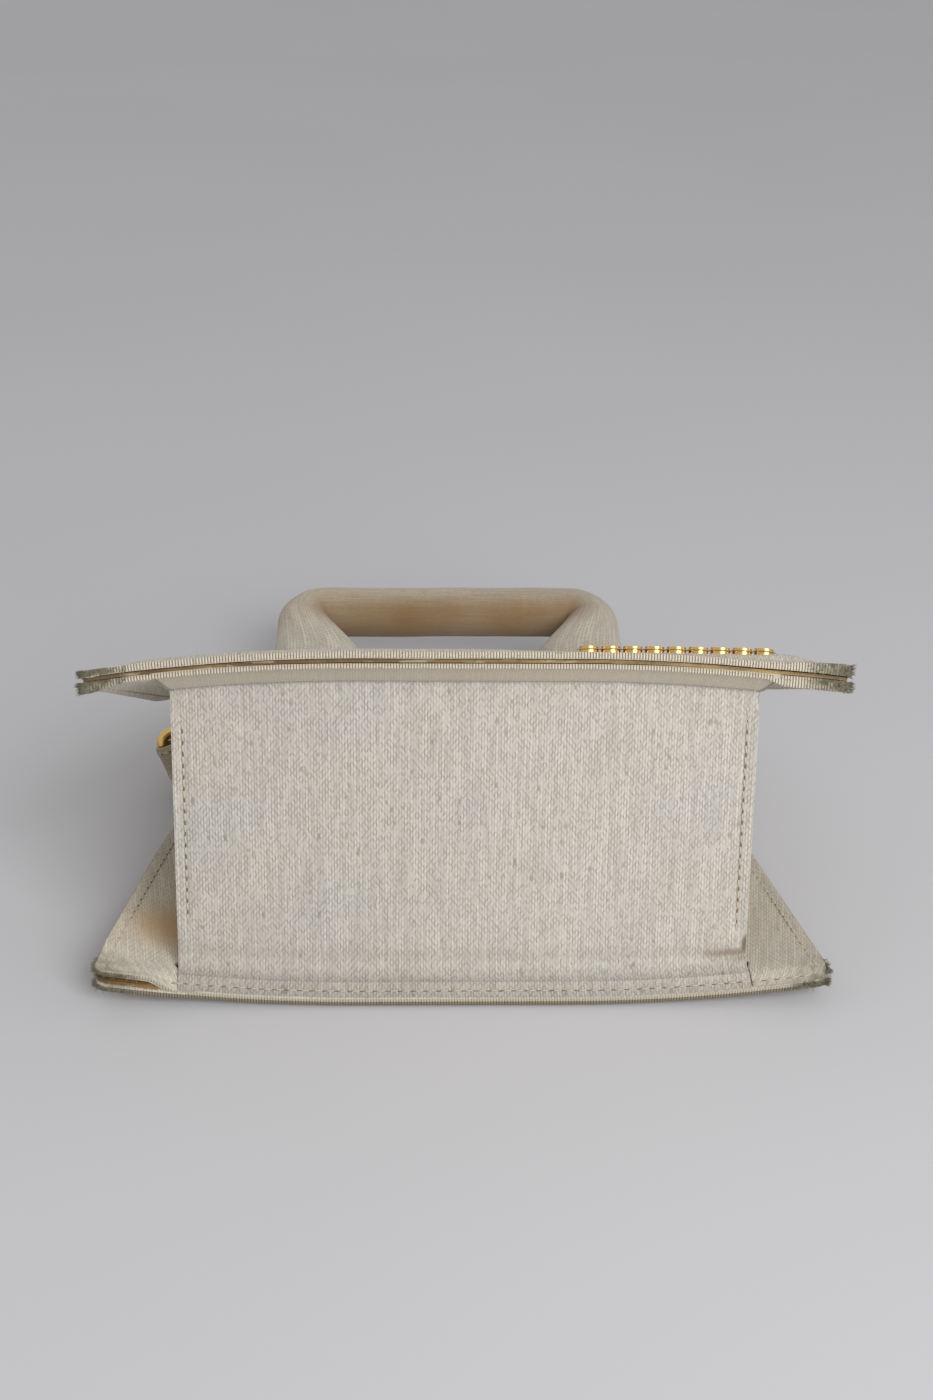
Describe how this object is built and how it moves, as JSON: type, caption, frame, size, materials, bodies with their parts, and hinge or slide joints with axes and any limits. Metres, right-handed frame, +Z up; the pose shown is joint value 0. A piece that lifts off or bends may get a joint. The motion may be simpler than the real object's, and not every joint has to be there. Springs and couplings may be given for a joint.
{
  "type": "top handle bag",
  "caption": "Small stiff canvas top handle bag lying on its back: two tapered panels, recessed base, gussets, front flap and a padded arch handle.",
  "frame": {"origin": "middle of the footprint on the surface that the bag lies on, under its back panel", "axes": "+X along the bag's width, to the right seen from the base; +Y from the base toward the handle; +Z up, out of the bag's front face"},
  "size_m": [0.18, 0.2046, 0.0886],
  "materials": {
    "canvas": "plain weave linen canvas, cream with darker slubs, matt",
    "lining": "short-napped cream lining cloth, matt",
    "board": "stiffening board with a golden brown glued edge",
    "handle_filling": "firm wound filling inside the handle",
    "gold_metal": "polished gold plating",
    "steel": "plain nickelled steel"
  },
  "bodies": {
    "bag_body": {"back_cover": "canvas", "front_cover": "canvas", "base_panel": "canvas", "gusset_left": "canvas", "gusset_right": "canvas", "top_cover": "canvas", "handle_cover": "canvas", "side_tab_left": "canvas", "side_tab_right": "canvas", "lining": "lining", "inner_pocket": "lining", "top_lining": "lining", "back_board": "board", "front_board": "board", "base_board": "board", "top_board": "board", "handle_core": "handle_filling", "front_stud_1": "gold_metal", "front_stud_2": "gold_metal", "front_stud_3": "gold_metal", "front_stud_4": "gold_metal", "front_stud_5": "gold_metal", "front_stud_6": "gold_metal", "front_stud_7": "gold_metal", "front_stud_8": "gold_metal", "front_stud_9": "gold_metal", "front_magnet": "steel", "handle_washer_left": "steel", "handle_washer_right": "steel", "handle_screw_left": "steel", "handle_screw_right": "steel"},
    "flap": {"flap_cover": "canvas", "flap_board": "board", "flap_lining": "lining", "flap_magnet": "steel"},
    "ring_left": {"side_ring_left": "gold_metal"},
    "ring_right": {"side_ring_right": "gold_metal"}
  },
  "joints": [
    {"name": "flap_hinge", "type": "hinge", "parent": "bag_body", "child": "flap", "pos_m": [0, 0.0376, 0.02251], "axis": [-1, 0, 0], "range_deg": [0, 113]},
    {"name": "ring_left_swing", "type": "hinge", "parent": "bag_body", "child": "ring_left", "pos_m": [-0.08263, 0.00813, 0.00948], "axis": [-0.406, 0.1801, 0.896], "range_deg": [0, 180]},
    {"name": "ring_right_swing", "type": "hinge", "parent": "bag_body", "child": "ring_right", "pos_m": [0.08263, 0.00813, 0.00948], "axis": [-0.406, -0.1801, -0.896], "range_deg": [0, 180]}
  ]
}
